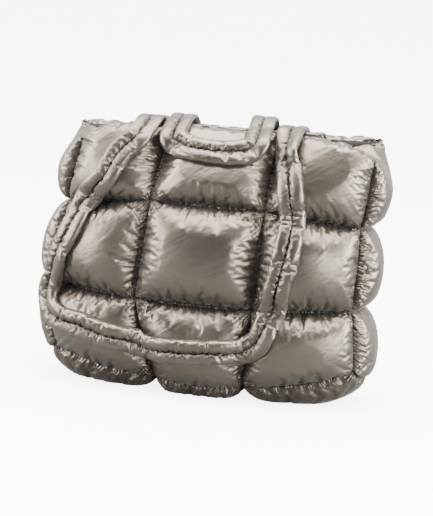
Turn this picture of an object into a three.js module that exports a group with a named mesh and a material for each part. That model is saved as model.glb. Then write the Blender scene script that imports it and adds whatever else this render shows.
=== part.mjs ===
import * as THREE from 'three';

// A puffer tote bag of shiny quilted nylon, in millimetres. It stands on the floor at z = 0 with its
// front towards -Y and leans a little to one side, as a soft bag does. Two padded shoulder straps
// are sewn into the mouth: the front one lies over the front panel, and the back one falls over the
// mouth and hangs behind. Each panel is a padded wall, thin at its quilting seams and thick between
// them, and the bag is hollow and open at the top.

// The bag's own sizes.
const rimHeight = 335; // floor to the top seam, at the middle of the mouth
const halfWidth = 195; // middle of the bag to a side seam
const halfDepth = 66; // middle of the bag to the front quilting seams at their fullest

// The padded walls.
const wall = 3; // fabric and lining together at a quilting seam
const panelPuff = 23; // how far a square of the front or back panel stands above its seams
const gussetPuff = 25;
const bottomPuff = 40;
const rimPuffShare = 0.3; // padding left at the mouth's edge, as a share of the full puff
const seamBow = 4; // how far a seam bows out between two crossings
const baseBow = 11; // and the long seams around the bottom
const gussetBaseBow = 20; // and the short ones under the gussets
const panelGap = 0.2; // each panel stops this far short of the seam it shares with its neighbour
const mouthTuck = 36; // how far the side gussets are tucked in at the mouth
const tuckReach = 0.55; // share of the gusset's top row that the tuck runs down
const shoulderPower = 4; // the larger, the nearer to its corners the mouth's edge stays level

// The facing turned in around the mouth.
const facingThickness = 2;
const facingDepth = 24;
const facingHalfLength = 125;
const facingStand = 1.2; // how far it stands above the mouth's edge
const facingRise = 5; // how much further it stands up at its ends
const facingClearance = 0.8;

// The straps: two padded tubes side by side with a stitched line between them.
const strapWidth = 36;
const strapThickness = 13;
const stitchThickness = 4.5;
const strapEndThickness = 5; // flattened where it is sewn in
const strapRimThickness = 6; // pressed flat where it bends over the mouth's edge
const paddingRamp = 45; // length over which the padding comes back to its full thickness
const strapEndDepth = 14; // how far an end reaches down into the mouth
const strapClearance = 1.2;
const endClearance = 0.3; // and so much more at its ends, against the facing
const strapBend = 60; // smallest radius at which a strap bends over the puffs
const frontEndShift = { left: 9, right: -4 }; // how far right of its route each end is sewn in
const backEndShift = { left: 4, right: -4 };
const leftArch = 2; // how far the back strap stands up over the mouth on its left
const rightArch = 8;

const puffSteps = 6; // mesh steps across one quilted square
const facingSteps = 16;
const strapSections = 90;

// Quilting seams from the floor up. Heights are shares of rimHeight, depths of halfDepth, and places
// across of halfWidth: a row's crossings from left to right stand at leftEdge, leftInner, rightInner
// and rightEdge. "edge" is at the side seams and "inner" between them. rise is how much higher the
// right side seam meets the row than the left one, and turn how far the padding faces up or down.
const levels = [
  { name: 'base', innerHeight: 0.055, edgeHeight: 0.132, rise: 0.022, innerDepth: 0.87, edgeDepth: 0.6,
    leftEdge: -0.975, leftInner: -0.265, rightInner: 0.315, rightEdge: 1.03, turn: -1 },
  { name: 'lower', innerHeight: 0.357, edgeHeight: 0.376, rise: 0, innerDepth: 1.0, edgeDepth: 0.56,
    leftEdge: -1.04, leftInner: -0.42, rightInner: 0.36, rightEdge: 0.99, turn: 0 },
  { name: 'upper', innerHeight: 0.733, edgeHeight: 0.687, rise: 0, innerDepth: 0.93, edgeDepth: 0.46,
    leftEdge: -0.945, leftInner: -0.355, rightInner: 0.395, rightEdge: 1.0, turn: 0 },
];

// The mouth's edge. The back one stands higher at its corners, which the front ones droop from.
const rims = {
  front: { name: 'rim', innerHeight: 0.995, edgeHeight: 0.922, rise: 0.01, innerDepth: 0.2, edgeDepth: 0.45,
    leftEdge: -0.875, leftInner: -0.285, rightInner: 0.435, rightEdge: 1.05, turn: 0.3 },
  back: { name: 'rim', innerHeight: 0.985, edgeHeight: 0.978, rise: 0.03, innerDepth: 0.2, edgeDepth: 0.45,
    leftEdge: -0.965, leftInner: -0.285, rightInner: 0.435, rightEdge: 1.05, turn: 0.3 },
};

// Columns of crossings on a face, from the bag's left to its right as seen from the front.
const columns = [
  { place: 'leftEdge', side: -1, edge: true },
  { place: 'leftInner', side: -1, edge: false },
  { place: 'rightInner', side: 1, edge: false },
  { place: 'rightEdge', side: 1, edge: true },
];
const sidewaysAtInner = 0.12; // how far the padding at a middle column faces to the side

const front = -1;
const back = 1;
const rimOf = (face) => (face === front ? rims.front : rims.back);
const levelsOf = (face) => [...levels, rimOf(face)];

// One crossing of the quilting: where it is, and which way the padding faces there. The facing
// vector isn't a unit one, so that the wall is mitred where two panels meet at a corner.
function crossing(face, column, level) {
  const depth = column.edge ? level.edgeDepth : level.innerDepth;
  const height = column.edge ? level.edgeHeight + column.side * level.rise / 2 : level.innerHeight;
  return {
    point: new THREE.Vector3(
      halfWidth * level[column.place], face * halfDepth * depth, rimHeight * height),
    facing: new THREE.Vector3(column.side * (column.edge ? 1 : sidewaysAtInner), face, level.turn),
  };
}

const lerp = (a, b, t) => a + (b - a) * t;
const last = (list) => list[list.length - 1];

// A panel's crossings, moved in along its own surface by the gap that it leaves to its neighbours.
// openTop leaves the last row where it is, at the mouth.
function insetCrossings(rows, openTop) {
  const moved = rows.map((row) => row.map(({ point, facing }) => ({ point: point.clone(), facing })));
  const pull = (here, towards) => {
    const step = towards.clone().sub(here.original).setLength(panelGap);
    here.target.add(step);
  };
  const last = rows.length - 1;
  rows.forEach((row, j) => row.forEach(({ point }, i) => {
    const here = { original: point, target: moved[j][i].point };
    if (i === 0) pull(here, row[1].point);
    if (i === row.length - 1) pull(here, row[i - 1].point);
    if (j === 0) pull(here, rows[1][i].point);
    if (j === last && !openTop) pull(here, rows[j - 1][i].point);
  }));
  return moved;
}

// Height of the padding across one square, from 0 at a seam to 1 in the middle.
function swell(t) {
  const fromMiddle = Math.abs(2 * t - 1);
  return Math.pow(Math.max(0, 1 - Math.pow(fromMiddle, 2.2)), 0.6);
}

const bow = (t) => 4 * t * (1 - t);

// The padding along a square that ends at the open mouth, where it keeps some thickness.
const swellToRim = (t) => (t < 0.5 ? swell(t) : lerp(rimPuffShare, 1, swell(t)));

// One point of a quilted panel, at s, t in the square (i, j) of its crossings. fold moves it before
// it is padded, and bowOf gives how far the seams around a square bow out, across it and along it.
function quiltedPoint(rows, i, j, s, t, { puff, openTop, fold, bowOf }) {
  const corners = [rows[j][i], rows[j][i + 1], rows[j + 1][i], rows[j + 1][i + 1]];
  const weights = [(1 - s) * (1 - t), s * (1 - t), (1 - s) * t, s * t];
  const point = new THREE.Vector3();
  const facing = new THREE.Vector3();
  corners.forEach((corner, k) => {
    point.addScaledVector(corner.point, weights[k]);
    facing.addScaledVector(corner.facing, weights[k]);
  });
  if (fold) point.add(fold(i + s, j + t));
  const atRim = openTop && j === rows.length - 2;
  const across = swell(s);
  const along = atRim ? swellToRim(t) : swell(t);
  const bows = bowOf(i, j, s, t);
  const lift = puff * across * along
    + bows.row * bow(s) * (1 - along) + bows.column * bow(t) * (1 - across);
  const outer = point.clone().addScaledVector(facing.clone().normalize(), lift);
  outer.z = Math.max(outer.z, 0); // flattened where it rests on the floor
  return { outer, inner: point.addScaledVector(facing, -wall) };
}

// How far the seams bow: along the rows of a face or gusset only the lowest one bows further, and
// the bottom has such seams all around.
const bowsUp = (baseSeam) => (i, j, s, t) => ({
  row: j === 0 && t < 0.5 ? baseSeam : seamBow, column: seamBow });
const bowsUnder = (i, j, s) => ({
  row: baseBow,
  column: (i === 0 && s < 0.5) || (i === columns.length - 2 && s > 0.5) ? gussetBaseBow : baseBow });

// Steps across one square, closer together near its seams.
const steps = Array.from({ length: puffSteps }, (_, k) => (1 - Math.cos(Math.PI * k / puffSteps)) / 2);

// The outer and inner grids of a panel.
function quiltedGrids(crossings, options) {
  const rows = insetCrossings(crossings, options.openTop);
  const places = (squares) => [
    ...Array.from({ length: squares }, (_, i) => steps.map((s) => [i, s])).flat(), [squares - 1, 1]];
  const grid = places(rows.length - 1).map(([j, t]) =>
    places(rows[0].length - 1).map(([i, s]) => quiltedPoint(rows, i, j, s, t, options)));
  return {
    outer: grid.map((row) => row.map((place) => place.outer)),
    inner: grid.map((row) => row.map((place) => place.inner)),
  };
}

// A closed geometry from points and triangles, turned so that its faces point out.
function closedGeometry(points, triangles) {
  let volume = 0;
  for (const [a, b, c] of triangles) {
    volume += points[a].dot(points[b].clone().cross(points[c]));
  }
  const index = triangles.flatMap(([a, b, c]) => (volume > 0 ? [a, b, c] : [a, c, b]));
  return new THREE.BufferGeometry().setFromPoints(points).setIndex(index);
}

// The solid between two grids of the same shape, closed around their edges.
function solidBetween(outer, inner) {
  const high = outer.length;
  const wide = outer[0].length;
  const points = [...outer.flat(), ...inner.flat()];
  const at = (layer, j, i) => layer * high * wide + j * wide + i;
  const triangles = [];
  const quad = (a, b, c, d) => triangles.push([a, b, c], [a, c, d]);
  for (let j = 0; j < high - 1; j += 1) {
    for (let i = 0; i < wide - 1; i += 1) {
      quad(at(0, j, i), at(0, j, i + 1), at(0, j + 1, i + 1), at(0, j + 1, i));
      quad(at(1, j, i), at(1, j + 1, i), at(1, j + 1, i + 1), at(1, j, i + 1));
    }
  }
  const border = [
    ...Array.from({ length: wide - 1 }, (_, i) => [0, i]),
    ...Array.from({ length: high - 1 }, (_, j) => [j, wide - 1]),
    ...Array.from({ length: wide - 1 }, (_, i) => [high - 1, wide - 1 - i]),
    ...Array.from({ length: high - 1 }, (_, j) => [high - 1 - j, 0]),
  ];
  border.forEach(([j, i], k) => {
    const [nextJ, nextI] = border[(k + 1) % border.length];
    quad(at(0, j, i), at(1, j, i), at(1, nextJ, nextI), at(0, nextJ, nextI));
  });
  return closedGeometry(points, triangles);
}

// The panels' crossings: rows from the floor up, or from the front to the back underneath.
const faceCrossings = (face) => levelsOf(face).map((level) =>
  columns.map((column) => crossing(face, column, level)));
const gussetCrossings = (column) => levelsOf(front).map((_, j) =>
  [front, back].map((face) => crossing(face, column, levelsOf(face)[j])));
const bottomCrossings = [front, back].map((face) =>
  columns.map((column) => crossing(face, column, levels[0])));
const rimRow = levels.length;

// A gusset is folded in towards the middle of the bag at the mouth, so that the mouth can close.
const gussetTuck = (side) => (s, row) => {
  const down = (rimRow - row) / tuckReach;
  const depth = down < 1 ? mouthTuck * Math.pow(1 - down, 1.4) : 0;
  return new THREE.Vector3(-side * depth * Math.pow(Math.sin(Math.PI * s), 2), 0, 0);
};

// The mouth's edge stays level until shortly before its corners, where it droops.
const shoulder = (face) => (column, row) => {
  const { innerHeight, edgeHeight } = rimOf(face);
  const fromInner = Math.max(0, 1 - column, column - 2);
  const above = Math.max(0, row - rimRow + 1) ** 2;
  const lift = rimHeight * (innerHeight - edgeHeight) * (fromInner - fromInner ** shoulderPower);
  return new THREE.Vector3(0, 0, lift * above);
};

const faceGrids = (face) => quiltedGrids(faceCrossings(face),
  { puff: panelPuff, openTop: true, fold: shoulder(face), bowOf: bowsUp(baseBow) });
const frontGrids = faceGrids(front);
const backGrids = faceGrids(back);
const gussetGrids = [columns[0], last(columns)].map((column) => quiltedGrids(gussetCrossings(column),
  { puff: gussetPuff, openTop: true, fold: gussetTuck(column.side), bowOf: bowsUp(gussetBaseBow) }));
const bottomGrids = quiltedGrids(bottomCrossings, { puff: bottomPuff, openTop: false, bowOf: bowsUnder });

const gridsOf = (face) => (face === front ? frontGrids : backGrids);

// The point of a row of points at a given x.
function alongRow(row, x) {
  const found = row.findIndex((p, k) => k > 0 && p.x >= x);
  const k = found < 0 ? row.length - 1 : found;
  return row[k - 1].clone().lerp(row[k], (x - row[k - 1].x) / (row[k].x - row[k - 1].x));
}

// The inner side of the front or back panel at x and at a height, or else at the mouth's edge.
function liningAt(face, x, height) {
  const line = gridsOf(face).inner.map((row) => alongRow(row, x)).reverse();
  const z = Math.min(line[0].z, height);
  const k = Math.max(1, line.findIndex((p) => p.z <= z));
  return line[k - 1].clone().lerp(line[k], (z - line[k - 1].z) / (line[k].z - line[k - 1].z));
}

// The facing: a strip against the lining of one panel at the mouth, which stands a little above the
// edge, and most at its ends.
function facingGrids(face) {
  const { leftInner, rightInner } = rimOf(face);
  const middle = halfWidth * (leftInner + rightInner) / 2;
  const layer = (offset) => {
    const places = Array.from({ length: facingSteps + 1 }, (_, k) => 2 * k / facingSteps - 1);
    const rows = [1, 0.5, 0].map((down) => places.map((across) => {
      const x = middle + across * facingHalfLength;
      return liningAt(face, x, alongRow(last(gridsOf(face).inner), x).z - facingDepth * down);
    }));
    const raised = last(rows).map((p, k) => p.clone().setZ(p.z + facingStand + facingRise * places[k] ** 6));
    return [...rows, raised].map((row) => row.map((p) => p.setY(p.y - face * offset)));
  };
  return { outer: layer(facingClearance), inner: layer(facingClearance + facingThickness) };
}
const facings = { [front]: facingGrids(front), [back]: facingGrids(back) };

const skins = {
  [front]: [frontGrids, ...gussetGrids].map((grids) => grids.outer),
  [back]: [backGrids, ...gussetGrids].map((grids) => grids.outer),
};

// How far out the bag's skin reaches at (x, z) on one face: the greatest face * y of the grids there.
function skinReach(face, x, z) {
  let reach = -Infinity;
  const test = (a, b, c) => {
    const area = (b.x - a.x) * (c.z - a.z) - (c.x - a.x) * (b.z - a.z);
    if (Math.abs(area) < 1e-9) return;
    const u = ((b.x - x) * (c.z - z) - (c.x - x) * (b.z - z)) / area;
    const v = ((c.x - x) * (a.z - z) - (a.x - x) * (c.z - z)) / area;
    const w = 1 - u - v;
    if (u < 0 || v < 0 || w < 0) return;
    reach = Math.max(reach, face * (u * a.y + v * b.y + w * c.y));
  };
  for (const grid of skins[face]) {
    for (let j = 0; j < grid.length - 1; j += 1) {
      for (let i = 0; i < grid[0].length - 1; i += 1) {
        test(grid[j][i], grid[j][i + 1], grid[j + 1][i + 1]);
        test(grid[j][i], grid[j + 1][i + 1], grid[j + 1][i]);
      }
    }
  }
  return reach;
}

// The mouth's edge at x: how far out its outer corner is, and how high it or the facing stands.
function rimCorner(face, x) {
  const near = (row) => [-0.5, 0, 0.5].map((side) => alongRow(row, x + side * strapWidth));
  const edge = near(last(gridsOf(face).outer));
  return {
    reach: Math.max(...edge.map((p) => face * p.y)),
    top: Math.max(...[...edge, ...near(last(facings[face].outer))].map((p) => p.z)),
  };
}

// The strap's thickness along a path: full on a face, and less near places where it is pressed flat.
function thicknessAlong(path) {
  const thickness = path.map(({ pressed }) => pressed ?? strapThickness);
  const growth = (strapThickness - strapRimThickness) / paddingRamp;
  const limit = (k, from) => {
    const length = path[k].point.distanceTo(path[from].point);
    thickness[k] = Math.min(thickness[k], thickness[from] + growth * length);
  };
  for (let k = 1; k < path.length; k += 1) limit(k, k - 1);
  for (let k = path.length - 2; k >= 0; k -= 1) limit(k, k + 1);
  return thickness;
}

// The strap's section: places across its half width, and the share of its half thickness there.
const sectionTop = [
  [-1, 0], [-0.85, 0.75], [-0.45, 1], [-0.13, 0.7], [0, stitchThickness / strapThickness],
  [0.13, 0.7], [0.45, 1], [0.85, 0.75], [1, 0],
];
const sectionRing = [
  ...sectionTop,
  ...sectionTop.slice(1, -1).reverse().map(([across, padding]) => [across, -padding]),
];

// Places across the strap where it feels for the puffs under it, as shares of its half width.
const footprint = [-1, -0.85, -0.65, -0.45, -0.2, 0, 0.2, 0.45, 0.65, 0.85, 1];
const faceStep = 5; // length between the places where it does so
const tiltSmoothing = 3; // in such steps
const tiltLimit = 1; // slope of the steepest tilt that it follows
const turnCost = 30; // length of straight strap that takes as many sections as one radian of turn

// A stretch of a strap that lies on a face, from its places across and up. It rests on the puffs
// under its width, tilts with them, and bridges the valleys that it is too stiff to sink into.
function lieOnFace(face, places) {
  const flat = new THREE.CatmullRomCurve3(
    places.map(([across, up]) => new THREE.Vector3(across * halfWidth, 0, up * rimHeight)), false, 'centripetal');
  const count = Math.round(flat.getLength() / faceStep);
  const along = Array.from({ length: count + 1 }, (_, k) => k / count);
  const middle = along.map((u) => flat.getPointAt(u));
  const side = along.map((u) => {
    const tangent = flat.getTangentAt(u);
    return new THREE.Vector3(tangent.z, 0, -tangent.x);
  });
  const offsets = footprint.map((share) => share * strapWidth / 2);
  const reaches = middle.map((p, k) => offsets.map((offset) =>
    skinReach(face, p.x + offset * side[k].x, p.z + offset * side[k].z)));
  const slope = smoothed(reaches.map((row) => slopeOf(offsets, row)), tiltSmoothing);
  const base = filled(reaches.map((row, k) =>
    Math.max(...row.map((reach, i) => reach - slope[k] * offsets[i]))));
  const bridged = rolledOver(base, faceStep, strapBend);
  return middle.map((p, k) => {
    const [before, after] = [Math.max(k - 1, 0), Math.min(k + 1, count)];
    const climb = (bridged[after] - bridged[before]) / ((after - before) * faceStep);
    const out = new THREE.Vector3(0, face, 0)
      .addScaledVector(side[k], -slope[k]).addScaledVector(flat.getTangentAt(along[k]), -climb);
    return { point: new THREE.Vector3(p.x, face * bridged[k], p.z), out: out.normalize() };
  });
}

// The slope of the reaches across a strap, leaving out places beyond the bag.
function slopeOf(offsets, reaches) {
  const seen = offsets.map((offset, i) => [offset, reaches[i]]).filter(([, reach]) => reach > -Infinity);
  if (seen.length < 3) return 0;
  const mean = (k) => seen.reduce((sum, pair) => sum + pair[k], 0) / seen.length;
  const [meanOffset, meanReach] = [mean(0), mean(1)];
  let product = 0;
  let square = 0;
  for (const [offset, reach] of seen) {
    product += (offset - meanOffset) * (reach - meanReach);
    square += (offset - meanOffset) ** 2;
  }
  return THREE.MathUtils.clamp(product / square, -tiltLimit, tiltLimit);
}

function smoothed(values, spread) {
  return values.map((_, k) => {
    let sum = 0;
    let weight = 0;
    values.forEach((value, i) => {
      const share = Math.exp(-(((i - k) / spread) ** 2));
      sum += share * value;
      weight += share;
    });
    return sum / weight;
  });
}

// Places with nothing under them take the value of the nearest place that has something.
function filled(values) {
  return values.map((value, k) => {
    if (value > -Infinity) return value;
    const others = values.map((other, i) => [Math.abs(i - k), other]).filter(([, other]) => other > -Infinity);
    return others.sort((a, b) => a[0] - b[0])[0][1];
  });
}

// The profile that a ball of the given radius leaves when it rolls over the values from outside.
function rolledOver(values, step, radius) {
  const cap = (i, k) => Math.sqrt(Math.max(0, radius ** 2 - ((i - k) * step) ** 2)) - radius;
  const near = (i, k) => Math.abs(i - k) * step < radius;
  const balls = values.map((_, k) => Math.max(...values.map((v, i) => (near(i, k) ? v + cap(i, k) : -Infinity))));
  return values.map((_, k) => Math.min(...balls.map((v, i) => (near(i, k) ? v - cap(i, k) : Infinity))));
}

const up = new THREE.Vector3(0, 0, 1);

// Over the outside corner of the mouth's edge.
function overCorner(face, x) {
  const { reach, top } = rimCorner(face, x);
  const out = new THREE.Vector3(0, face, 1).normalize();
  return { point: new THREE.Vector3(x, face * reach, top), out, pressed: strapRimThickness };
}

// Over the open mouth, from one edge to the other; arch is how far the strap stands up in between.
function overMouth(from, to, x, arch) {
  const edges = [from, to].map((face) => rimCorner(face, x));
  return [0.25, 0.5, 0.75].map((t) => ({
    point: new THREE.Vector3(
      x,
      lerp(from * edges[0].reach, to * edges[1].reach, t),
      Math.max(edges[0].top, edges[1].top) + arch * Math.sin(Math.PI * t)),
    out: up,
    pressed: strapRimThickness,
  }));
}

// A strap's end: down into the mouth against the facing, where it is sewn, then up and over the edge.
function sewnEnd(face, x) {
  const { reach, top } = rimCorner(face, x);
  const against = (height) => {
    const lining = [-0.5, -0.25, 0, 0.25, 0.5].map((side) => face * liningAt(face, x + side * strapWidth, height).y);
    return face * (Math.min(...lining) - facingClearance - facingThickness - endClearance);
  };
  const inward = new THREE.Vector3(0, -face, 0);
  const inside = new THREE.Vector3(0, -face, 1).normalize();
  const at = (y, z, out, pressed) => ({ point: new THREE.Vector3(x, y, z), out, pressed });
  return [
    at(against(top - strapEndDepth), top - strapEndDepth, inward, strapEndThickness),
    at(against(top - strapEndDepth / 2), top - strapEndDepth / 2, inward, strapEndThickness),
    at(against(top), top, inside, strapEndThickness),
    at(lerp(against(top), face * reach, 0.5), top, up, strapRimThickness),
    overCorner(face, x),
  ];
}

// The straps' routes as seen from the front: shares across (of halfWidth) and up (of rimHeight).
const frontDrape = [
  [-0.475, 0.956], [-0.545, 0.912], [-0.6, 0.86], [-0.64, 0.812], [-0.72, 0.762], [-0.775, 0.707],
  [-0.812, 0.65], [-0.85, 0.59], [-0.9, 0.522], [-0.94, 0.45], [-0.98, 0.385], [-0.995, 0.335],
  [-0.97, 0.283], [-0.885, 0.252], [-0.76, 0.24], [-0.55, 0.214], [-0.4, 0.198], [-0.22, 0.19],
  [-0.03, 0.192], [0.13, 0.2], [0.3, 0.212], [0.42, 0.245], [0.47, 0.315], [0.505, 0.4],
  [0.545, 0.5], [0.572, 0.6], [0.578, 0.72], [0.553, 0.85], [0.52, 0.95],
];
const foldedOver = [
  [-0.235, 0.962], [-0.205, 0.944], [-0.13, 0.93], [0.03, 0.928], [0.19, 0.934], [0.27, 0.948], [0.3, 0.967],
];
const leftBackLoop = [
  [-0.46, 0.95], [-0.5, 0.87], [-0.53, 0.77], [-0.52, 0.705], [-0.46, 0.66], [-0.385, 0.655],
  [-0.31, 0.68], [-0.26, 0.735], [-0.245, 0.81], [-0.24, 0.89], [-0.235, 0.95],
];
const rightBackLoop = [
  [0.3, 0.95], [0.305, 0.89], [0.31, 0.81], [0.325, 0.735], [0.37, 0.68], [0.45, 0.655],
  [0.53, 0.66], [0.585, 0.705], [0.59, 0.77], [0.555, 0.87], [0.51, 0.95],
];

const xOf = ([across]) => across * halfWidth;

const frontPath = [
  ...sewnEnd(front, xOf(frontDrape[0]) + frontEndShift.left),
  ...lieOnFace(front, frontDrape),
  ...sewnEnd(front, xOf(last(frontDrape)) + frontEndShift.right).reverse(),
];
const backPath = [
  ...sewnEnd(back, xOf(leftBackLoop[0]) + backEndShift.left),
  ...lieOnFace(back, leftBackLoop),
  overCorner(back, xOf(last(leftBackLoop))),
  ...overMouth(back, front, xOf(foldedOver[0]), leftArch),
  overCorner(front, xOf(foldedOver[0])),
  ...lieOnFace(front, foldedOver),
  overCorner(front, xOf(last(foldedOver))),
  ...overMouth(front, back, xOf(last(foldedOver)), rightArch),
  overCorner(back, xOf(rightBackLoop[0])),
  ...lieOnFace(back, rightBackLoop),
  ...sewnEnd(back, xOf(last(rightBackLoop)) + backEndShift.right).reverse(),
];

// The padded strap swept along a path.
function strapGeometry(path) {
  const thickness = thicknessAlong(path);
  const middle = path.map(({ point, out }, k) =>
    point.clone().addScaledVector(out, thickness[k] / 2 + strapClearance));
  const curve = new THREE.CatmullRomCurve3(middle, false, 'centripetal');
  const between = (t, blend) => {
    const place = t * (path.length - 1);
    const k = Math.min(Math.floor(place), path.length - 2);
    return blend(k, k + 1, place - k);
  };
  const outAt = (t) => between(t, (a, b, share) => path[a].out.clone().lerp(path[b].out, share).normalize());
  const halfAt = (t) => between(t, (a, b, share) => lerp(thickness[a], thickness[b], share) / 2);

  // Sections stand closer together where the strap turns.
  const samples = 2400;
  const places = Array.from({ length: samples + 1 }, (_, k) => {
    const t = k / samples;
    return { t, point: curve.getPoint(t), tangent: curve.getTangent(t), out: outAt(t) };
  });
  const cost = [0];
  for (let k = 1; k <= samples; k += 1) {
    const [a, b] = [places[k - 1], places[k]];
    const step = a.point.distanceTo(b.point);
    cost.push(cost[k - 1] + step + turnCost * (a.out.angleTo(b.out) + a.tangent.angleTo(b.tangent)));
  }
  const points = [];
  let k = 0;
  for (let n = 0; n < strapSections; n += 1) {
    const wanted = cost[samples] * n / (strapSections - 1);
    while (k < samples && cost[k] < wanted) k += 1;
    const { t, point, tangent, out } = places[k];
    const side = tangent.clone().cross(out).normalize();
    const normal = side.clone().cross(tangent).normalize();
    const half = halfAt(t);
    for (const [across, padding] of sectionRing) {
      points.push(point.clone()
        .addScaledVector(side, across * strapWidth / 2).addScaledVector(normal, padding * half));
    }
  }

  const ring = sectionRing.length;
  const triangles = [];
  for (let n = 0; n < strapSections - 1; n += 1) {
    for (let i = 0; i < ring; i += 1) {
      const [a, b] = [n * ring + i, n * ring + (i + 1) % ring];
      triangles.push([a, b, b + ring], [a, b + ring, a + ring]);
    }
  }
  const end = (strapSections - 1) * ring;
  for (let i = 0; i < ring / 2; i += 1) {
    const [top, nextTop, nextUnder, under] = [i, i + 1, (ring - i - 1) % ring, (ring - i) % ring];
    if (under !== top) {
      triangles.push([nextTop, top, under], [end + top, end + nextTop, end + under]);
    }
    if (nextUnder !== nextTop) {
      triangles.push([nextTop, under, nextUnder], [end + nextTop, end + nextUnder, end + under]);
    }
  }
  return closedGeometry(points, triangles);
}

const nylon = new THREE.MeshStandardMaterial({ color: 0x8d8375, metalness: 0.85, roughness: 0.36 });
const webbing = new THREE.MeshStandardMaterial({ color: 0x867c6e, metalness: 0.85, roughness: 0.38 });
const lining = new THREE.MeshStandardMaterial({ color: 0x6c6459, metalness: 0.6, roughness: 0.5 });

const bag = new THREE.Group();
bag.name = 'puffer_tote_bag';

function addPiece(name, geometry, material) {
  const piece = new THREE.Mesh(geometry, material);
  piece.name = name;
  bag.add(piece);
}

const panel = ({ outer, inner }) => solidBetween(outer, inner);

addPiece('front_panel', panel(frontGrids), nylon);
addPiece('back_panel', panel(backGrids), nylon);
addPiece('side_gusset_left', panel(gussetGrids[0]), nylon);
addPiece('side_gusset_right', panel(gussetGrids[1]), nylon);
addPiece('bottom_panel', panel(bottomGrids), nylon);
addPiece('mouth_facing_front', panel(facings[front]), lining);
addPiece('mouth_facing_back', panel(facings[back]), lining);
addPiece('strap_front', strapGeometry(frontPath), webbing);
addPiece('strap_back', strapGeometry(backPath), webbing);

export default bag;
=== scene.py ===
import math

import bpy
import numpy as np
from mathutils import Matrix, Vector
from mathutils.bvhtree import BVHTree


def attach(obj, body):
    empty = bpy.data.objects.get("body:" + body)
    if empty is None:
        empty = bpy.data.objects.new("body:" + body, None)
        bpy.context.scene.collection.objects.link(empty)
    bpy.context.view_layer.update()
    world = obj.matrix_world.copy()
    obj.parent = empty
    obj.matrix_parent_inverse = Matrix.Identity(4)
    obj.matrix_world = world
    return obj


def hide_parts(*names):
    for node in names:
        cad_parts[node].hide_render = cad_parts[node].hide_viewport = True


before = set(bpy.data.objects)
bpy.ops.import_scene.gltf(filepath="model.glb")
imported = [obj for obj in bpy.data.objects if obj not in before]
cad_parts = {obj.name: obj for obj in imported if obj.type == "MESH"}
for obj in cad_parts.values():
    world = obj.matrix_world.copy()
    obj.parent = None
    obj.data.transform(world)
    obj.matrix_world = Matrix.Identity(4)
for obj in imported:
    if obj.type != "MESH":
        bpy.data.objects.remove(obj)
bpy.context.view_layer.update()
scene = bpy.context.scene

# Camera, at the photo's angle

CAMERA_AZIMUTH = math.radians(11.7)
CAMERA_ELEVATION = math.radians(11.4)
CAMERA_ROLL = math.radians(3.7)
CAMERA_DISTANCE = 2.3
CAMERA_TARGET = Vector((0.0078, 0, 0.1685))
CAMERA_LENS = 125.4
SENSOR_HEIGHT = 36


def place_camera():
    back = Vector((
        math.sin(CAMERA_AZIMUTH) * math.cos(CAMERA_ELEVATION),
        -math.cos(CAMERA_AZIMUTH) * math.cos(CAMERA_ELEVATION),
        math.sin(CAMERA_ELEVATION),
    ))
    level = Vector((math.cos(CAMERA_AZIMUTH), math.sin(CAMERA_AZIMUTH), 0))
    upright = back.cross(level)
    right = level * math.cos(CAMERA_ROLL) + upright * math.sin(CAMERA_ROLL)
    up = upright * math.cos(CAMERA_ROLL) - level * math.sin(CAMERA_ROLL)
    data = bpy.data.cameras.new("camera")
    data.lens = CAMERA_LENS
    data.sensor_fit = "VERTICAL"
    data.sensor_height = SENSOR_HEIGHT
    camera = bpy.data.objects.new("camera", data)
    scene.collection.objects.link(camera)
    camera.matrix_world = Matrix.Translation(CAMERA_TARGET + back * CAMERA_DISTANCE) @ Matrix(
        (right, up, back)).transposed().to_4x4()
    scene.camera = camera


place_camera()

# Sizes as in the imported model, in millimetres

MM = 0.001
RIM_HEIGHT = 335
HALF_WIDTH = 195
HALF_DEPTH = 66
WALL = 3
PANEL_PUFF = 23
GUSSET_PUFF = 25
BOTTOM_PUFF = 40
RIM_PUFF_SHARE = 0.3
SEAM_BOW = 4
BASE_BOW = 11
GUSSET_BASE_BOW = 20
PANEL_GAP = 0.2
MOUTH_TUCK = 36
TUCK_REACH = 0.55
TUCK_POWER = 1.4
SHOULDER_POWER = 4
SWELL_POWER = 2.2
ROUNDNESS = 0.55
FRONT = -1
BACK = 1

# Quilting seams from the floor up, in shares of RIM_HEIGHT, HALF_WIDTH (across) and HALF_DEPTH
LEVELS = [
    dict(inner_height=0.055, edge_height=0.132, rise=0.022, inner_depth=0.87, edge_depth=0.6,
         across=(-0.975, -0.265, 0.315, 1.03), turn=-1),
    dict(inner_height=0.357, edge_height=0.376, rise=0, inner_depth=1.0, edge_depth=0.56,
         across=(-1.04, -0.42, 0.36, 0.99), turn=0),
    dict(inner_height=0.733, edge_height=0.687, rise=0, inner_depth=0.93, edge_depth=0.46,
         across=(-0.945, -0.355, 0.395, 1.0), turn=0),
]
RIMS = {
    FRONT: dict(inner_height=0.995, edge_height=0.922, rise=0.01, inner_depth=0.2, edge_depth=0.45,
                across=(-0.875, -0.285, 0.435, 1.05), turn=0.3),
    BACK: dict(inner_height=0.985, edge_height=0.978, rise=0.03, inner_depth=0.2, edge_depth=0.45,
               across=(-0.965, -0.285, 0.435, 1.05), turn=0.3),
}
COLUMNS = range(4)
SIDEWAYS_AT_INNER = 0.12
RIM_ROW = len(LEVELS)


def levels_of(face):
    return [*LEVELS, RIMS[face]]


def crossing(face, column, level):
    """Where two seams cross, and which way the padding faces there."""
    side = -1 if column < 2 else 1
    edge = column in (0, 3)
    which = "edge" if edge else "inner"
    height = level[f"{which}_height"] + (side * level["rise"] / 2 if edge else 0)
    point = (
        HALF_WIDTH * level["across"][column],
        face * HALF_DEPTH * level[f"{which}_depth"],
        RIM_HEIGHT * height,
    )
    return point, (side * (1 if edge else SIDEWAYS_AT_INNER), face, level["turn"])


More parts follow.
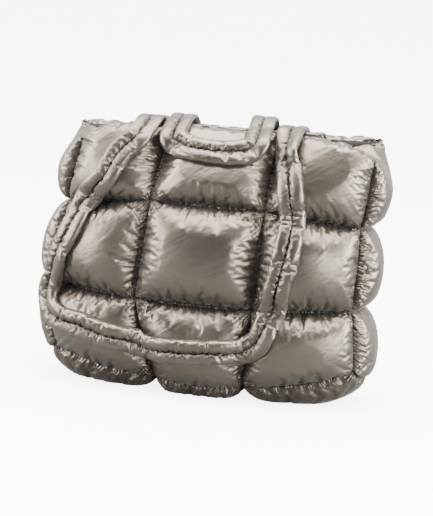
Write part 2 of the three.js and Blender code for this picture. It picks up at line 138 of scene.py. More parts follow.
def crossings(rows):
    """Arrays of points and of facings, from rows of crossings."""
    return tuple(np.array([[place[k] for place in row] for row in rows], float) for k in (0, 1))


def swell(t):
    return np.maximum(0, 1 - np.abs(2 * t - 1) ** SWELL_POWER) ** ROUNDNESS


def bow(t):
    return 4 * t * (1 - t)


def unit(vectors):
    return vectors / np.linalg.norm(vectors, axis=-1, keepdims=True)


# Noise that is the same on each run

NOISE_SIZE = 64
NOISE = np.random.default_rng(7).uniform(-1, 1, (NOISE_SIZE, NOISE_SIZE))


def noise(x, y, seed=0):
    """Smooth noise between -1 and 1, about one bump for each unit of x and y."""
    x = x + 17.3 * seed
    y = y + 9.7 * seed
    i = np.floor(x).astype(int)
    j = np.floor(y).astype(int)
    s = x - i
    t = y - j
    s = s * s * (3 - 2 * s)
    t = t * t * (3 - 2 * t)
    value = [[NOISE[(i + a) % NOISE_SIZE, (j + b) % NOISE_SIZE] for a in (0, 1)] for b in (0, 1)]
    low = value[0][0] * (1 - s) + value[0][1] * s
    high = value[1][0] * (1 - s) + value[1][1] * s
    return low * (1 - t) + high * t


# Quilted panels

ROLL_ROWS = 8
ROLL_HEIGHT = 4.5
LINING_SLACK = 3
SEAM_DEPTH = 5
RIM_SEAM_SHARE = 0.3
RIM_BAND = 0.25
SAG = 0.8


def quilt(points, facings, steps, puff, open_top, fold, row_bow, column_bow, sag=SAG):
    """A panel's outer and inner grids, its facings and its places across and along, in squares."""
    rows, columns = points.shape[0] - 1, points.shape[1] - 1
    u = np.arange(columns * steps + 1) / steps
    v = np.arange(rows * steps + 1) / steps
    along, across = np.meshgrid(v, u, indexing="ij")
    i = np.minimum(across.astype(int), columns - 1)
    j = np.minimum(along.astype(int), rows - 1)
    s = across - i
    t = along - j

    def blended(corners):
        a, b = s[..., None], t[..., None]
        return (corners[j, i] * (1 - a) * (1 - b) + corners[j, i + 1] * a * (1 - b)
                + corners[j + 1, i] * (1 - a) * b + corners[j + 1, i + 1] * a * b)

    point = blended(points)
    facing = blended(facings)
    if fold is not None:
        point += fold(across, along)
    over = swell(s)
    up = swell(t ** sag)
    if open_top:
        up = np.where((j == rows - 1) & (t > 0.5), RIM_PUFF_SHARE + (1 - RIM_PUFF_SHARE) * up, up)
    lift = puff * over * up
    bows = row_bow(j, t) * bow(s) * (1 - up) + column_bow(i, s) * bow(t) * (1 - over)
    below_rim = np.clip((rows - along) / RIM_BAND, 0, 1) if open_top else np.ones_like(along)
    sink = SEAM_DEPTH * (1 - np.minimum(over, up)) * (
        RIM_SEAM_SHARE + (1 - RIM_SEAM_SHARE) * below_rim)
    outer = point + unit(facing) * (lift + bows - sink)[..., None]
    outer[..., 2] = np.maximum(outer[..., 2], 0)
    inner = point - facing * (WALL + LINING_SLACK * below_rim)[..., None]
    return dict(outer=outer, inner=inner, facing=unit(facing),
                across=across, along=along, lift=lift, open_top=open_top)


def inset(points, open_top):
    """A panel's crossings moved in from its neighbours along its own surface."""
    moved = points.copy()

    def pull(target, source, towards):
        step = unit(towards - source)
        target += PANEL_GAP * step

    pull(moved[:, 0], points[:, 0], points[:, 1])
    pull(moved[:, -1], points[:, -1], points[:, -2])
    pull(moved[0], points[0], points[1])
    if not open_top:
        pull(moved[-1], points[-1], points[-2])
    return moved


def shoulder(face):
    rim = RIMS[face]

    def lift(across, along):
        from_inner = np.maximum(0, np.maximum(1 - across, across - 2))
        above = np.maximum(0, along - RIM_ROW + 1) ** 2
        droop = RIM_HEIGHT * (rim["inner_height"] - rim["edge_height"])
        height = droop * (from_inner - from_inner ** SHOULDER_POWER) * above
        return np.stack([0 * height, 0 * height, height], -1)

    return lift


def tuck(side):
    def move(across, along):
        down = np.minimum(1, (RIM_ROW - along) / TUCK_REACH)
        depth = MOUTH_TUCK * (1 - down) ** TUCK_POWER * np.sin(np.pi * across) ** 2
        return np.stack([-side * depth, 0 * depth, 0 * depth], -1)

    return move


def base_row_bow(amount):
    return lambda j, t: np.where((j == 0) & (t < 0.5), amount, SEAM_BOW)


def even_bow(i, s):
    return SEAM_BOW


def bottom_column_bow(i, s):
    return np.where(((i == 0) & (s < 0.5)) | ((i == 2) & (s > 0.5)), GUSSET_BASE_BOW, BASE_BOW)


def face_net(face, steps):
    points, facings = crossings(
        [[crossing(face, column, level) for column in COLUMNS] for level in levels_of(face)])
    return quilt(inset(points, True), facings, steps, PANEL_PUFF, True, shoulder(face),
                 base_row_bow(BASE_BOW), even_bow)


def gusset_net(column, steps):
    points, facings = crossings(
        [[crossing(face, column, levels_of(face)[j]) for face in (FRONT, BACK)] for j in range(4)])
    return quilt(inset(points, True), facings, steps, GUSSET_PUFF, True, tuck(-1 if column == 0 else 1),
                 base_row_bow(GUSSET_BASE_BOW), even_bow)


def bottom_net(steps):
    points, facings = crossings(
        [[crossing(face, column, LEVELS[0]) for column in COLUMNS] for face in (FRONT, BACK)])
    return quilt(inset(points, False), facings, steps, BOTTOM_PUFF, False, None,
                 lambda j, t: BASE_BOW, bottom_column_bow, 1)


def with_rolled_edge(net):
    """The outer grid with rows added that roll over the mouth's edge to the lining."""
    outer, inner = net["outer"], net["inner"]
    w = np.linspace(0, 1, ROLL_ROWS + 1)[1:, None, None]
    over = outer[-1] + (inner[-1] - outer[-1]) * (1 - np.cos(np.pi * w)) / 2
    over[..., 2] += ROLL_HEIGHT * np.sin(np.pi * w[..., 0])
    return np.concatenate([outer, over])


def grid_faces(high, wide, closed=False):
    index = np.arange(high * wide).reshape(high, wide)
    if closed:
        index = np.concatenate([index, index[:, :1]], 1)
    quads = np.stack([index[:-1, :-1], index[:-1, 1:], index[1:, 1:], index[1:, :-1]], -1)
    return quads.reshape(-1, 4)


def finer(grid):
    """A grid with a place added between each two, on a smooth curve through the old ones."""
    def halved(points):
        padded = np.concatenate([2 * points[:1] - points[1:2], points, 2 * points[-1:] - points[-2:-1]])
        middle = (9 * (padded[1:-2] + padded[2:-1]) - padded[:-3] - padded[3:]) / 16
        result = np.empty((2 * len(points) - 1, *points.shape[1:]))
        result[::2] = points
        result[1::2] = middle
        return result

    return halved(halved(grid).swapaxes(0, 1)).swapaxes(0, 1)


def grid_normals(grid, facing):
    du = np.gradient(grid, axis=1)
    dv = np.gradient(grid, axis=0)
    normal = np.cross(du, dv)
    normal /= np.maximum(np.linalg.norm(normal, axis=-1, keepdims=True), 1e-9)
    return normal * np.sign((normal * facing).sum(-1, keepdims=True) + 1e-9)


# Cloth, simulated at a larger scale where it is steadier

SIM_SCALE = 0.01
FRAMES = 18
CLOTH_QUALITY = 5
CLOTH_MASS = 0.15
CLOTH_STIFFNESS = 15
CLOTH_SHEAR_SHARE = 0.3
CLOTH_BENDING = 0.05


def settle(points, faces, pinned, growth, pressure):
    """The cloth's places after its pressure has filled it. Growth is the fullness gathered into seams."""
    mesh = bpy.data.meshes.new("cloth")
    mesh.from_pydata((points * SIM_SCALE).tolist(), [], faces.tolist())
    cloth = bpy.data.objects.new("cloth", mesh)
    scene.collection.objects.link(cloth)
    group = cloth.vertex_groups.new(name="pinned")
    for weight in np.unique(pinned[pinned > 0]):
        group.add(np.nonzero(pinned == weight)[0].tolist(), float(weight), "REPLACE")
    modifier = cloth.modifiers.new("cloth", "CLOTH")
    settings = modifier.settings
    settings.quality = CLOTH_QUALITY
    settings.mass = CLOTH_MASS
    settings.tension_stiffness = CLOTH_STIFFNESS
    settings.compression_stiffness = CLOTH_STIFFNESS
    settings.shear_stiffness = CLOTH_STIFFNESS * CLOTH_SHEAR_SHARE
    settings.bending_stiffness = CLOTH_BENDING
    settings.vertex_group_mass = "pinned"
    settings.shrink_min = -growth
    settings.use_pressure = True
    settings.uniform_pressure_force = pressure
    settings.effector_weights.gravity = 0
    modifier.collision_settings.use_collision = False
    modifier.point_cache.frame_start = 1
    modifier.point_cache.frame_end = FRAMES
    for number in range(1, FRAMES + 1):
        scene.frame_set(number)
    settled = cloth.evaluated_get(bpy.context.evaluated_depsgraph_get()).to_mesh()
    moved = np.zeros(len(points) * 3, np.float32)
    settled.vertices.foreach_get("co", moved)
    bpy.data.objects.remove(cloth)
    bpy.data.meshes.remove(mesh)
    scene.frame_set(1)
    return moved.reshape(-1, 3).astype(float) / SIM_SCALE


def capped(settled, outer, cap):
    """Places that have settled, none of them further than the cap from where they began."""
    moved = settled - outer
    distance = np.linalg.norm(moved, axis=-1, keepdims=True)
    return outer + moved * np.minimum(1, cap / np.maximum(distance, 1e-9))


def add_piece(name, points, faces, material, nodes):
    mesh = bpy.data.meshes.new(name)
    mesh.from_pydata((points * MM).tolist(), [], [list(face) for face in faces])
    mesh.polygons.foreach_set("use_smooth", [True] * len(mesh.polygons))
    mesh.materials.append(material)
    piece = bpy.data.objects.new(name, mesh)
    scene.collection.objects.link(piece)
    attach(piece, "root")
    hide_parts(*nodes)
    return piece


def measure(piece, **measures):
    """Keeps lengths in millimetres on the piece's points, which its material reads."""
    for name, values in measures.items():
        attribute = piece.data.attributes.new(name, "FLOAT", "POINT")
        full = np.zeros(len(piece.data.vertices), np.float32)
        full[: values.size] = values.reshape(-1)
        attribute.data.foreach_set("value", full)


def seam_measures(net, grid):
    """How far each place is from the nearest column seam and row seam, and how far along them."""
    high, wide = grid.shape[:2]
    across = np.tile(np.linspace(0, net["across"].max(), wide), (high, 1))
    along = np.tile((np.arange(high) / net["rows_per_square"])[:, None], (1, wide))
    square_width, square_height = (
        np.linalg.norm(np.gradient(grid, axis=axis), axis=-1).mean() * net["rows_per_square"]
        for axis in (1, 0))
    from_row = np.abs(along - np.round(along)) * square_height
    if net["open_top"]:
        from_row = np.where(along > RIM_ROW - 0.5, square_height / 2, from_row)
    return dict(
        from_column=np.abs(across - np.round(across)) * square_width,
        along_column=(along + 7 * np.round(across)) * square_height,
        from_row=from_row,
        along_row=(across + 5 * np.round(along)) * square_width,
    )


def stitch_measures(grid):
    high, around = grid.shape[:2]
    centre = grid.mean(1)
    walked = np.concatenate([[0], np.cumsum(np.linalg.norm(np.diff(centre, axis=0), axis=1))])
    half = grid[:, [0, around // 2]]
    side = unit(half[:, 1] - half[:, 0])
    middle = half.mean(1)
    across = ((grid - middle[:, None]) * side[:, None]).sum(-1)
    return dict(from_stitch=np.abs(across), along_stitch=np.tile(walked[:, None], (1, around)))


# Materials

def set_inputs(node, **values):
    """Sets the node's inputs, in whose names _ stands for a space."""
    for key, value in values.items():
        node.inputs[key.replace("_", " ")].default_value = value


def nylon(name, colour, roughness, metallic=0.92, crinkle=0.4, gather_and_shade=None):
    """Metallic coated nylon: a fine plain weave, faint crinkles, and a shine that varies a little."""
    material = bpy.data.materials.new(name)
    material.use_nodes = True
    nodes = material.node_tree.nodes
    link = material.node_tree.links.new
    shader = nodes["Principled BSDF"]
    set_inputs(shader, Metallic=metallic, Sheen_Weight=0.15, Sheen_Roughness=0.5)
    where = nodes.new("ShaderNodeTexCoord")

    def texture(scale, detail):
        node = nodes.new("ShaderNodeTexNoise")
        set_inputs(node, Scale=scale, Detail=detail, Roughness=0.5)
        link(where.outputs["Object"], node.inputs["Vector"])
        return node

    def spread(node, low, high):
        ranged = nodes.new("ShaderNodeMapRange")
        set_inputs(ranged, From_Min=0.3, From_Max=0.7, To_Min=low, To_Max=high)
        link(node.outputs["Fac"], ranged.inputs["Value"])
        return ranged

    patches = texture(9, 3)
    link(spread(patches, roughness - 0.05, roughness + 0.06).outputs["Result"], shader.inputs["Roughness"])
    tint = nodes.new("ShaderNodeMix")
    tint.data_type = "RGBA"
    set_inputs(tint, A=(*[c * 0.9 for c in colour], 1), B=(*[min(1, c * 1.08) for c in colour], 1))
    link(spread(texture(14, 4), 0, 1).outputs["Result"], tint.inputs["Factor"])
    link(tint.outputs["Result"], shader.inputs["Base Color"])

    def streaks(turn, scale):
        laid = nodes.new("ShaderNodeMapping")
        laid.vector_type = "TEXTURE"
        set_inputs(laid, Rotation=(0.3, math.radians(turn), 0.2), Scale=[1 / size for size in scale])
        link(where.outputs["Object"], laid.inputs["Vector"])
        node = nodes.new("ShaderNodeTexNoise")
        set_inputs(node, Scale=1, Detail=4, Roughness=0.55, Distortion=0.35)
        link(laid.outputs["Vector"], node.inputs["Vector"])
        return node

    weave = texture(1400, 1)
    creases = streaks(-32, (14, 60, 85))
    ripples = streaks(8, (26, 90, 170))
    bump = None
    layers = ((ripples, 0.0006, crinkle), (creases, 0.0025, crinkle), (weave, 0.0001, 0.25))
    for source, distance, strength in layers:
        node = nodes.new("ShaderNodeBump")
        node.inputs["Distance"].default_value = distance
        node.inputs["Strength"].default_value = strength
        link(source.outputs["Fac"], node.inputs["Height"])
        if bump is not None:
            link(bump.outputs["Normal"], node.inputs["Normal"])
        bump = node
    # Puckers at the seams, and painted shade along them.
    if gather_and_shade is not None:
        bump = gathered(material, shader, tint, bump, **gather_and_shade)
    link(bump.outputs["Normal"], shader.inputs["Normal"])
    return material


# Painted shade: a near-black colour that the base colour is mixed towards in the seams, in the puckers'
# creases and around seam crossings, where shadow would fall.
PAINTED_SEAM_SHADE = (0.004, 0.0034, 0.0028, 1)
GROOVE_SHADE_SHARE = 0.95
VALLEY_SHADE_WIDTH = 4.5
VALLEY_SHADE_SHARE = 0.7
WIDE_PUCKERS = dict(spacing=2.8, reach=2.6, depth=0.6)
FINE_PUCKER_DEPTH = 0.8
PUCKER_FADE = -1.6
PUCKER_DRIFT = 14
PINCH_RIDGES = 10
PINCH_REACH = 40
PINCH_START = 4
PINCH_SPREAD = 40
PINCH_DRIFT = 12
KNOT_SHADE_WIDTH = 7
KNOT_SHADE_SHARE = 0.85


def gathered(material, shader, tint, bump, seams, spacing, reach, depth, shade, groove_shade_width, pinch=0):
    """Adds fine puckers across seams or stitching, and creases around the places where seams cross.

    Both fade out away from the seam. Painted shade darkens the colour in the puckers' creases,
    in the seams' grooves and the wider valleys beside them, and around the crossings. Lengths are
    in millimetres, and the heights depth and pinch in metres."""
    nodes = material.node_tree.nodes
    link = material.node_tree.links.new

    def math_node(operation, a, b=None):
        node = nodes.new("ShaderNodeMath")
        node.operation = operation
        for k, value in enumerate((a, b)):
            if isinstance(value, (int, float)):
                node.inputs[k].default_value = value
            elif value is not None:
                link(value, node.inputs[k])
        return node.outputs["Value"]

    def decay(distance, rate):
        return math_node("EXPONENT", math_node("MULTIPLY", distance, rate))

    def attribute(attribute_name):
        node = nodes.new("ShaderNodeAttribute")
        node.attribute_name = attribute_name
        return node.outputs["Fac"]

    def ridges(turned, x, y, drift):
        """Ridges along the turned phase, which noise at x and y makes uneven."""
        place = nodes.new("ShaderNodeCombineXYZ")
        link(x, place.inputs["X"])
        link(y, place.inputs["Y"])
        wander = nodes.new("ShaderNodeTexNoise")
        set_inputs(wander, Scale=1, Detail=2)
        link(place.outputs["Vector"], wander.inputs["Vector"])
        phase = math_node("ADD", turned, math_node("MULTIPLY", wander.outputs["Fac"], drift))
        return math_node("ABSOLUTE", math_node("SINE", phase))

    def raised(height, distance, under):
        node = nodes.new("ShaderNodeBump")
        set_inputs(node, Distance=distance, Strength=1)
        link(height, node.inputs["Height"])
        link(under.outputs["Normal"], node.inputs["Normal"])
        return node

    def puckers(away, walked, width, length, lift, under):
        ridge = ridges(math_node("DIVIDE", walked, width / math.pi), math_node("DIVIDE", walked, width * 3),
                       math_node("DIVIDE", away, length * 1.5), PUCKER_DRIFT)
        fade = decay(math_node("DIVIDE", away, length), PUCKER_FADE)
        node = raised(math_node("MULTIPLY", ridge, fade), lift, under)
        return node, math_node("MULTIPLY", math_node("SUBTRACT", 1, ridge), fade)

    painted_shade = None
    for seam in seams:
        away = attribute(f"from_{seam}")
        walked = attribute(f"along_{seam}")
        bump, _ = puckers(away, walked, spacing * WIDE_PUCKERS["spacing"], reach * WIDE_PUCKERS["reach"],
                          depth * WIDE_PUCKERS["depth"], bump)
        bump, crease_shade = puckers(away, walked, spacing, reach, depth * FINE_PUCKER_DEPTH, bump)
        # Painted shade: the colour is darkened in the puckers' creases, in a narrow band along each seam and
        # in a wider, fainter band beside it, where shadow would fall.
        groove_shade = math_node("MULTIPLY", decay(away, -1 / groove_shade_width), GROOVE_SHADE_SHARE)
        valley_shade = math_node("MULTIPLY", decay(away, -1 / (groove_shade_width * VALLEY_SHADE_WIDTH)), VALLEY_SHADE_SHARE)
        dark = math_node("MAXIMUM", math_node("MULTIPLY", crease_shade, shade), groove_shade)
        dark = math_node("MAXIMUM", dark, valley_shade)
        painted_shade = dark if painted_shade is None else math_node("MAXIMUM", painted_shade, dark)
    if pinch:
        over = attribute("from_column")
        up = attribute("from_row")
        square = math_node("ADD", math_node("MULTIPLY", over, over), math_node("MULTIPLY", up, up))
        distance = math_node("POWER", square, 0.5)
        ridge = ridges(math_node("MULTIPLY", math_node("ARCTAN2", up, over), PINCH_RIDGES),
                       math_node("DIVIDE", attribute("along_column"), PINCH_SPREAD),
                       math_node("DIVIDE", attribute("along_row"), PINCH_SPREAD), PINCH_DRIFT)
        left = math_node("SUBTRACT", 1, math_node("DIVIDE", distance, PINCH_REACH))
        left = math_node("MAXIMUM", left, 0)
        start = math_node("SUBTRACT", 1, decay(distance, -1 / PINCH_START))
        fade = math_node("MULTIPLY", math_node("MULTIPLY", left, left), start)
        bump = raised(math_node("MULTIPLY", ridge, fade), pinch, bump)
        # Painted shade that is darkest where the seams cross and fades within a few millimetres.
        knot_shade = math_node("MULTIPLY", decay(distance, -1 / KNOT_SHADE_WIDTH), KNOT_SHADE_SHARE)
        painted_shade = math_node("MAXIMUM", painted_shade, knot_shade)
    # Mixes the painted shade into the base colour.
    painted_shade_mix = nodes.new("ShaderNodeMix")
    painted_shade_mix.data_type = "RGBA"
    painted_shade_mix.inputs["B"].default_value = PAINTED_SEAM_SHADE
    link(tint.outputs["Result"], painted_shade_mix.inputs["A"])
    link(painted_shade, painted_shade_mix.inputs["Factor"])
    link(painted_shade_mix.outputs["Result"], shader.inputs["Base Color"])
    return bump


PEWTER = (0.172, 0.147, 0.12)
# Each material's shade share and width set how strongly painted shade darkens its seams, stitching and
# creases.
panel_nylon = nylon("panel_nylon", PEWTER, 0.32,
                    gather_and_shade=dict(seams=("column", "row"), spacing=5, reach=8, depth=0.0009, shade=0.4,
                                groove_shade_width=2.0, pinch=0.002))
gusset_nylon = {
    "side_gusset_left": nylon("left_gusset_nylon", PEWTER, 0.34,
                              gather_and_shade=dict(seams=("column",), spacing=5, reach=8, depth=0.0006, shade=0.15,
                                          groove_shade_width=0.7)),
    "side_gusset_right": nylon("right_gusset_nylon", PEWTER, 0.34,
                               gather_and_shade=dict(seams=("column",), spacing=4.5, reach=12, depth=0.0021, shade=0.3,
                                           groove_shade_width=0.8)),
}
strap_nylon = nylon("strap_nylon", PEWTER, 0.32, crinkle=0.3,
                    gather_and_shade=dict(seams=("stitch",), spacing=3.2, reach=4.5, depth=0.0008, shade=1.0,
                                groove_shade_width=0.7))
facing_nylon = nylon("facing_nylon", (0.18, 0.158, 0.132), 0.36, crinkle=0.5)
lining_nylon = nylon("lining_nylon", (0.1, 0.09, 0.078), 0.5, metallic=0.5)

# The quilted panels

STEPS = 42
SIDE_STEPS = 30
# The share by which each panel's cloth is larger than its quilting
GROWTH = dict(front_panel=0.07, back_panel=0.09, bottom_panel=0.05,
              side_gusset_left=0.04, side_gusset_right=0.07)
PRESSURE = 2.8
CAP = 8
START_PUFF = 0.85
JITTER = 0.35
RIM_HOLD = 0.25

# Gathers across the seams, in millimetres
SQUARE = 120
GATHER_HEIGHT = 0.55
GATHER_REACH = 12
GATHER_SPACING = 4.2
GATHER_LENGTH = 26


def gathers(net, grid, normals, seed):
    """Fine puckers across the seams, which fade out away from them."""
    height, width = grid.shape[:2]
    across = np.linspace(0, net["across"].max(), width)[None, :] * np.ones((height, 1))
    along = np.linspace(0, height / net["rows_per_square"], height)[:, None] * np.ones((1, width))
    total = 0
    for place, other, which in ((across, along, 1), (along, across, 2)):
        nearest = np.round(place)
        distance = np.abs(place - nearest) * SQUARE
        fade = np.exp(-(distance / GATHER_REACH) ** 1.3)
        walked = other * SQUARE / GATHER_SPACING + 0.3 * nearest
        pucker = 1 - 1.6 * np.abs(noise(walked, distance / GATHER_LENGTH, seed + which))
        fullness = 0.55 + 0.45 * noise(other * 6, nearest, seed + 5 + which)
        total = total + GATHER_HEIGHT * fade * pucker * fullness
    return grid + normals * total[..., None]


def sew_panel(name, net, steps, seed):
    """A panel's finished outer grid, and its facings."""
    rolled = net["open_top"]
    outer = with_rolled_edge(net) if rolled else net["outer"]
    facing = net["facing"]
    height, width = outer.shape[:2]
    across = np.tile(net["across"][:1], (height, 1))
    along = net["along"][:, :1] * np.ones((1, width))
    if rolled:
        facing = np.concatenate([facing, np.repeat(facing[-1:], ROLL_ROWS, 0)])
        beyond = RIM_ROW + np.linspace(0, 0.2, ROLL_ROWS + 1)[1:, None] * np.ones((1, width))
        along = np.concatenate([along, beyond])
    on_seam = (np.abs(across - np.round(across)) < 1e-6) | (np.abs(along - np.round(along)) < 1e-6)
    pinned = on_seam.astype(float)
    if rolled:
        rim = len(net["along"]) - 1
        pinned[rim:] = 0
        pinned[rim] = RIM_HOLD
        pinned[-1] = 1
        pinned[rim:, [0, -1]] = 1
    start = outer.copy()
    lift = net["lift"] * (START_PUFF - 1)
    start[: len(net["lift"])] += net["facing"] * lift[..., None]
    start += JITTER * facing * noise(across * 24, along * 24, seed)[..., None]
    faces = grid_faces(height, width)
    normal = np.cross(start[1:, :-1] - start[:-1, :-1], start[:-1, 1:] - start[:-1, :-1])
    if (normal * facing[:-1, :-1]).sum() > 0:
        faces = faces[:, ::-1]
    settled = settle(start.reshape(-1, 3), faces, pinned.reshape(-1), GROWTH[name], PRESSURE)
    settled = capped(settled.reshape(height, width, 3), outer, CAP)
    settled[..., 2] = np.maximum(settled[..., 2], 0)
    grid = finer(settled)
    wide_facing = finer(facing)
    net["rows_per_square"] = 2 * steps
    grid = gathers(net, grid, grid_normals(grid, wide_facing), seed)
    grid[..., 2] = np.maximum(grid[..., 2], 0)
    return grid, wide_facing


nets = dict(
    front_panel=face_net(FRONT, STEPS),
    back_panel=face_net(BACK, SIDE_STEPS),
    side_gusset_left=gusset_net(0, SIDE_STEPS),
    side_gusset_right=gusset_net(3, SIDE_STEPS),
    bottom_panel=bottom_net(SIDE_STEPS),
)
panels = {}
for seed, (name, net) in enumerate(nets.items(), 1):
    panels[name] = sew_panel(name, net, STEPS if name == "front_panel" else SIDE_STEPS, seed)

# Straps

STRAP_WIDTH = 36
STRAP_THICKNESS = 13
STITCH_THICKNESS = 2.6
STRAP_END_THICKNESS = 5
STRAP_RIM_THICKNESS = 6
PADDING_RAMP = 45
STRAP_END_DEPTH = 14
STRAP_CLEARANCE = 0.5
STRAP_SINK = 2.5
STRAP_BEND = 45
LEFT_ARCH = 2
RIGHT_ARCH = 8
FRONT_END_SHIFTS = (9, -4)
BACK_END_SHIFTS = (4, -4)
FACING_THICKNESS = 2
FACING_CLEARANCE = 0.8
FOOTPRINT = [-1, -0.85, -0.65, -0.45, -0.2, 0, 0.2, 0.45, 0.65, 0.85, 1]
FACE_STEP = 5
TILT_SMOOTHING = 3
TILT_LIMIT = 1
TURN_SMOOTHING = 6
RING_HALF = 20
BEND_ROOM = 0.85
RING_STEP = 2.6
LOBE_POWER = 2.3
STRAP_GROWTH = dict(front=0.075, back=0.04)
STRAP_PRESSURE = 2.2
STRAP_CAP = 2.5
EDGE_HOLD = 0.15
STRAP_JITTER = 0.3
FAR = 400

# Routes as seen from the front: shares across (of HALF_WIDTH) and up (of RIM_HEIGHT)
FRONT_DRAPE = [
    (-0.475, 0.956), (-0.545, 0.912), (-0.6, 0.86), (-0.64, 0.812), (-0.72, 0.762), (-0.775, 0.707),
    (-0.812, 0.65), (-0.85, 0.59), (-0.9, 0.522), (-0.94, 0.45), (-0.98, 0.385), (-0.995, 0.335),
    (-0.97, 0.283), (-0.885, 0.252), (-0.76, 0.24), (-0.55, 0.214), (-0.4, 0.198), (-0.22, 0.19),
    (-0.03, 0.192), (0.13, 0.2), (0.3, 0.212), (0.42, 0.245), (0.47, 0.315), (0.505, 0.4),
    (0.545, 0.5), (0.572, 0.6), (0.578, 0.72), (0.553, 0.85), (0.52, 0.95),
]
FOLDED_OVER = [
    (-0.235, 0.962), (-0.2, 0.949), (-0.14, 0.937), (-0.05, 0.93), (0.06, 0.928), (0.19, 0.934),
    (0.27, 0.948), (0.3, 0.967),
]
LEFT_BACK_LOOP = [
    (-0.46, 0.95), (-0.5, 0.87), (-0.53, 0.77), (-0.52, 0.705), (-0.46, 0.66), (-0.385, 0.655),
    (-0.31, 0.68), (-0.26, 0.735), (-0.245, 0.81), (-0.24, 0.89), (-0.235, 0.95),
]
RIGHT_BACK_LOOP = [
    (0.3, 0.95), (0.305, 0.89), (0.31, 0.81), (0.325, 0.735), (0.37, 0.68), (0.45, 0.655),
    (0.53, 0.66), (0.585, 0.705), (0.59, 0.77), (0.555, 0.87), (0.51, 0.95),
]


def spline(points, count=None):
    """Centripetal curve through the points, at even lengths, with its tangents and its length."""
    points = np.asarray(points, float)
    padded = np.concatenate([2 * points[:1] - points[1:2], points, 2 * points[-1:] - points[-2:-1]])
    knots = np.concatenate([[0], np.cumsum(np.linalg.norm(np.diff(padded, axis=0), axis=1) ** 0.5)])
    dense = []
    for k in range(1, len(padded) - 2):
        t = np.linspace(knots[k], knots[k + 1], 40, endpoint=k == len(padded) - 3)[:, None]
        near = [(padded[k - 1 + i], knots[k - 1 + i]) for i in range(4)]
        while len(near) > 1:
            span = 4 - len(near) + 1
            near = [
                (((knots[k - 1 + i + span] - t) * near[i][0] + (t - knots[k - 1 + i]) * near[i + 1][0])
                 / (knots[k - 1 + i + span] - knots[k - 1 + i]), 0)
                for i in range(len(near) - 1)
            ]
        dense.append(near[0][0])
    dense = np.concatenate(dense)
    length = np.concatenate([[0], np.cumsum(np.linalg.norm(np.diff(dense, axis=0), axis=1))])
    count = count or max(2, int(round(length[-1] / FACE_STEP)) + 1)
    even = np.linspace(0, length[-1], count)
    middle = np.stack([np.interp(even, length, dense[:, k]) for k in range(dense.shape[1])], 1)
    return middle, unit(np.gradient(middle, axis=0)), length[-1]


def tree_of(grids):
    points = []
    faces = []
    for grid in grids:
        faces += (grid_faces(*grid.shape[:2]) + sum(len(p) for p in points)).tolist()
        points.append(grid.reshape(-1, 3))
    return BVHTree.FromPolygons(np.concatenate(points).tolist(), faces)


skin = tree_of([grid for name, (grid, _) in panels.items() if name != "bottom_panel"])


def reach(face, x, z):
    """How far out the bag's skin reaches at x and z on one face, or minus infinity beside it."""
    hit = skin.ray_cast(Vector((x, face * FAR, z)), Vector((0, -face, 0)))[0]
    return face * hit.y if hit is not None and face * hit.y > 0 else -np.inf


def rolled_over(values, radius):
    """The profile that a ball of the radius leaves when it rolls over the values from outside."""
    apart = np.abs(np.subtract.outer(np.arange(len(values)), np.arange(len(values)))) * FACE_STEP
    cap = np.where(apart < radius, np.sqrt(np.maximum(0, radius ** 2 - apart ** 2)) - radius, -np.inf)
    balls = (values[None] + cap).max(1)
    return (balls[None] - cap).min(1)


def smoothed(values, spread):
    apart = np.subtract.outer(np.arange(len(values)), np.arange(len(values)))
    share = np.exp(-(apart / spread) ** 2)
    return share @ values / share.sum(1)


def lie_on_face(face, places):
    """Places, outward directions and thickness of a stretch of strap that lies on the puffs."""
    flat = np.array([(across * HALF_WIDTH, up * RIM_HEIGHT) for across, up in places])
    middle, tangent, _ = spline(flat)
    side = np.stack([tangent[:, 1], -tangent[:, 0]], 1)
    offsets = np.array(FOOTPRINT) * STRAP_WIDTH / 2
    reaches = np.array([[reach(face, *(m + o * w)) for o in offsets] for m, w in zip(middle, side)])
    slope = np.zeros(len(middle))
    for k, row in enumerate(reaches):
        seen = np.isfinite(row)
        if seen.sum() > 2:
            slope[k] = np.clip(np.polyfit(offsets[seen], row[seen], 1)[0], -TILT_LIMIT, TILT_LIMIT)
    slope = smoothed(slope, TILT_SMOOTHING)
    base = (reaches - slope[:, None] * offsets).max(1)
    seen = np.nonzero(np.isfinite(base))[0]
    base = np.interp(np.arange(len(base)), seen, base[seen])
    bridged = rolled_over(base, STRAP_BEND) - STRAP_SINK
    climb = np.gradient(bridged, FACE_STEP)
    out = np.array([0, face, 0]) - np.stack([
        slope * side[:, 0] + climb * tangent[:, 0], 0 * slope, slope * side[:, 1] + climb * tangent[:, 1]], 1)
    point = np.stack([middle[:, 0], face * bridged, middle[:, 1]], 1)
    return [(p, unit(o), STRAP_THICKNESS) for p, o in zip(point, out)]


def at_x(row, x):
    k = int(np.clip(np.searchsorted(row[:, 0], x), 1, len(row) - 1))
    share = (x - row[k - 1, 0]) / (row[k, 0] - row[k - 1, 0])
    return row[k - 1] + share * (row[k] - row[k - 1])


rim_nets = {FRONT: nets["front_panel"], BACK: nets["back_panel"]}


def lining_at(face, x, height):
    line = np.array([at_x(row, x) for row in rim_nets[face]["inner"]])
    k = int(np.clip(np.searchsorted(line[:, 2], height), 1, len(line) - 1))
    share = min(1, (height - line[k - 1, 2]) / (line[k, 2] - line[k - 1, 2]))
    return line[k - 1] + share * (line[k] - line[k - 1])


def rim_corner(face, x):
    near = [at_x(rim_nets[face]["outer"][-1], x + share * STRAP_WIDTH) for share in (-0.5, 0, 0.5)]
    return max(face * p[1] for p in near), max(p[2] for p in near) + ROLL_HEIGHT


def over_corner(face, x):
    out_reach, top = rim_corner(face, x)
    return np.array([x, face * out_reach, top - 1]), unit(np.array([0, face, 1.0])), STRAP_RIM_THICKNESS


